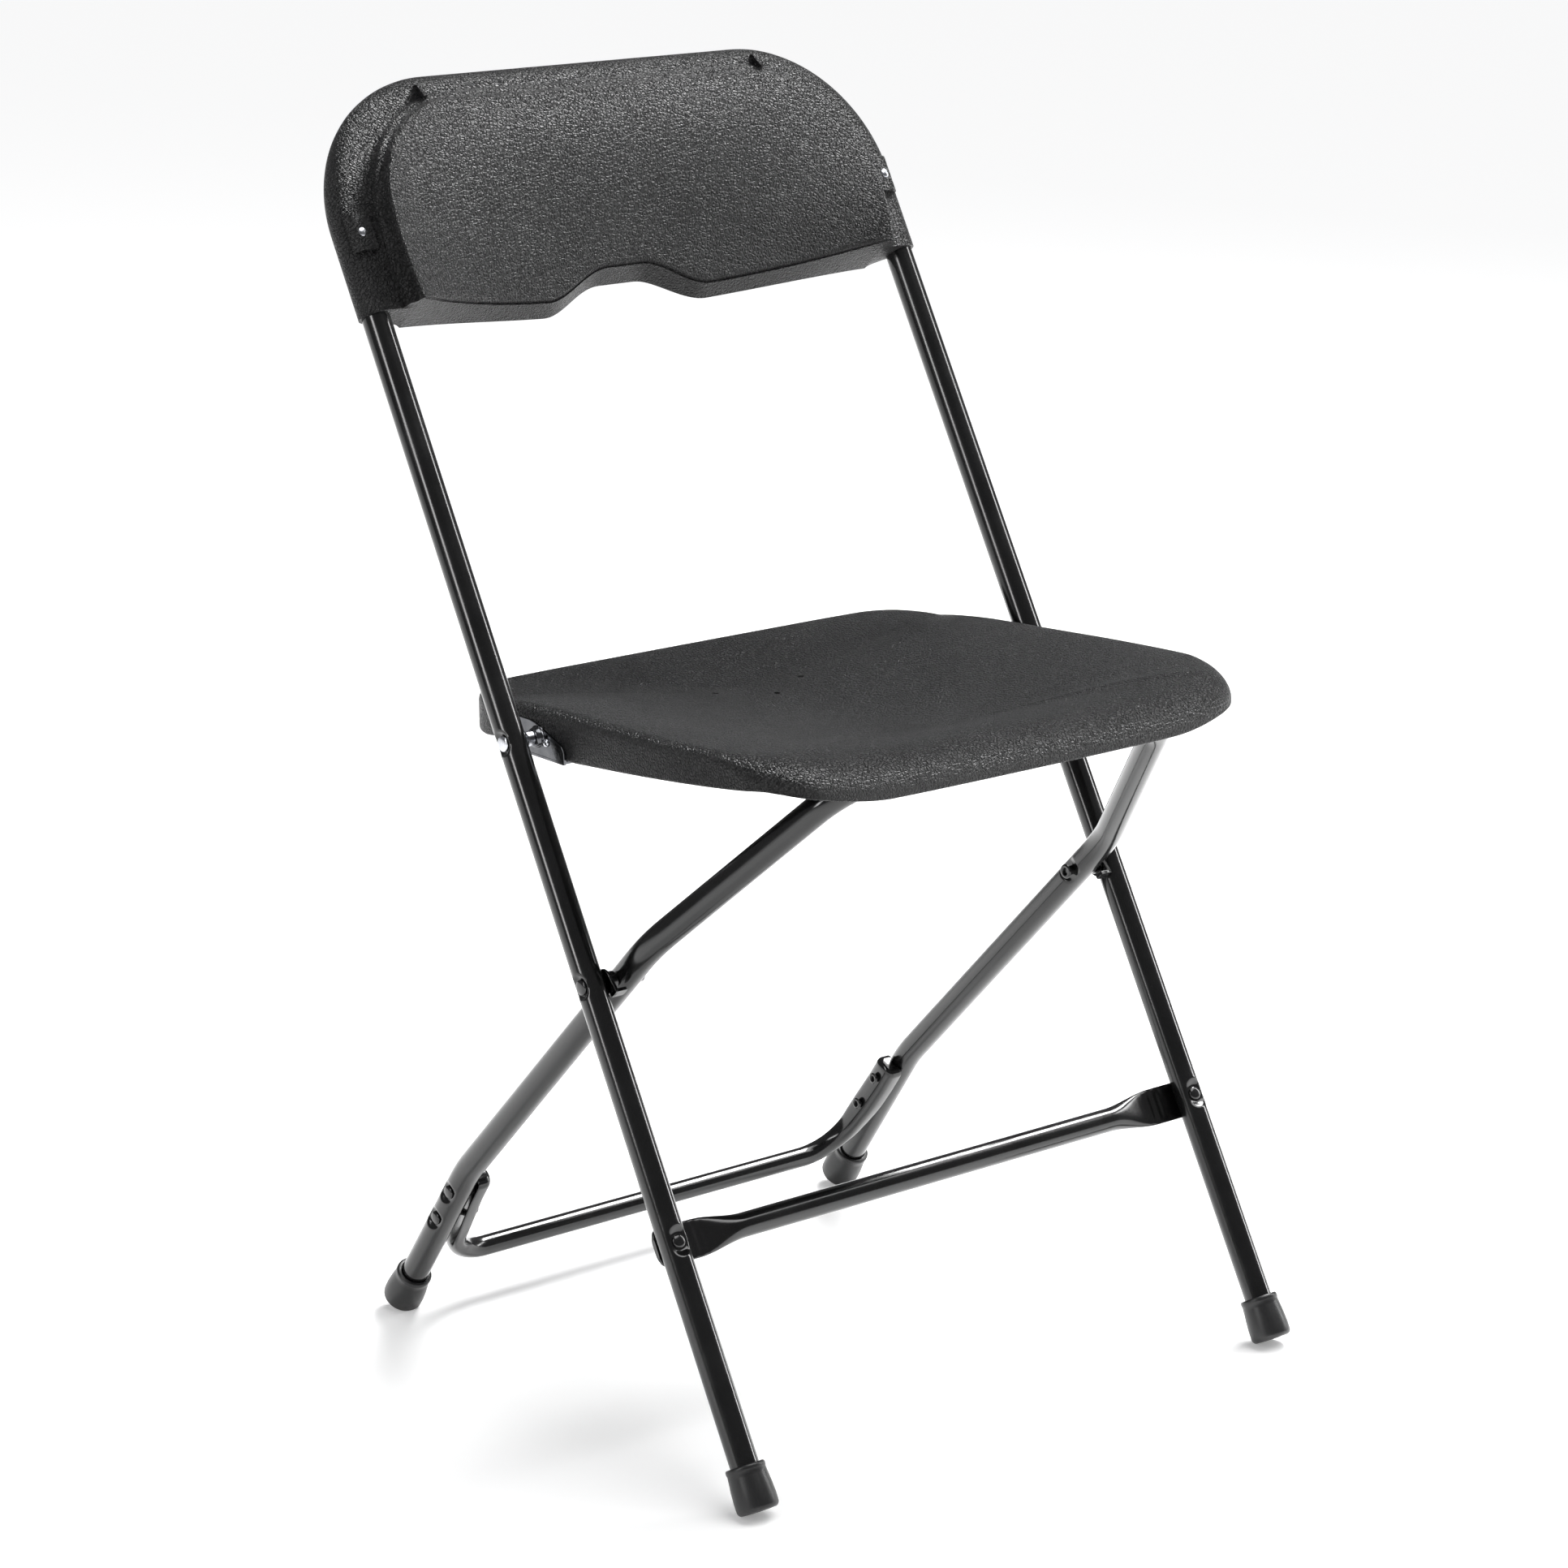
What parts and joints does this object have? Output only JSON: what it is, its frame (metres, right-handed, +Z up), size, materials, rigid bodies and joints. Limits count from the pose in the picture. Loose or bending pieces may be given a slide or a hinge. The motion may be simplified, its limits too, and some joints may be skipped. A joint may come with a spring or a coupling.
{
  "type": "folding chair",
  "caption": "Folding chair with a moulded plastic seat and backrest on a crossed frame of bent steel tube; the seat and rear legs swing up against the front frame.",
  "frame": {"origin": "on the floor, under the middle of the chair's overall length and width", "axes": "+X to the sitter's left, across the seat; +Y to the back of the chair, so the sitter faces -Y; +Z up"},
  "size_m": [0.4518, 0.4728, 0.8026],
  "materials": {
    "frame_steel": "semi-gloss black paint",
    "black_rivet": "semi-gloss black",
    "zinc_hardware": "bright zinc plate",
    "moulded_plastic": "black, fine leather grain",
    "foot_plastic": "matt black"
  },
  "bodies": {
    "front_frame": {"front_frame_tube": "frame_steel", "backrest_shell": "moulded_plastic", "front_stretcher": "frame_steel", "backrest_screw_left": "zinc_hardware", "backrest_screw_right": "zinc_hardware", "front_stretcher_rivet_left": "black_rivet", "front_stretcher_rivet_right": "black_rivet", "front_foot_left": "foot_plastic", "front_foot_right": "foot_plastic", "leg_stop_left": "frame_steel", "leg_stop_right": "frame_steel", "leg_pivot_rivet_left": "black_rivet", "leg_pivot_rivet_right": "black_rivet", "seat_pivot_rivet_left": "zinc_hardware", "seat_pivot_rivet_right": "zinc_hardware", "seat_pivot_washer_left": "zinc_hardware", "seat_pivot_washer_right": "zinc_hardware"},
    "rear_frame": {"rear_frame_tube": "frame_steel", "rear_stretcher": "frame_steel", "rear_stretcher_rivet_left_upper": "black_rivet", "rear_stretcher_rivet_left_lower": "black_rivet", "rear_stretcher_rivet_right_upper": "black_rivet", "rear_stretcher_rivet_right_lower": "black_rivet", "rear_foot_left": "foot_plastic", "rear_foot_right": "foot_plastic"},
    "seat": {"seat_shell": "moulded_plastic", "seat_hinge_plate_left": "zinc_hardware", "seat_hinge_plate_right": "zinc_hardware", "hinge_plate_rivet_left": "zinc_hardware", "hinge_plate_rivet_right": "zinc_hardware"}
  },
  "joints": [
    {"name": "leg_fold", "type": "hinge", "parent": "front_frame", "child": "rear_frame", "pos_m": [0, -0.06243, 0.2903], "axis": [-1, 0, 0], "range_deg": [0, 62]},
    {"name": "seat_fold", "type": "hinge", "parent": "front_frame", "child": "seat", "pos_m": [0, 0.01539, 0.42585], "axis": [-1, 0, 0], "range_deg": [0, 114.4]}
  ],
  "couplings": [
    {"joint": "seat_fold", "follows": "leg_fold", "ratio": 1.8438}
  ]
}
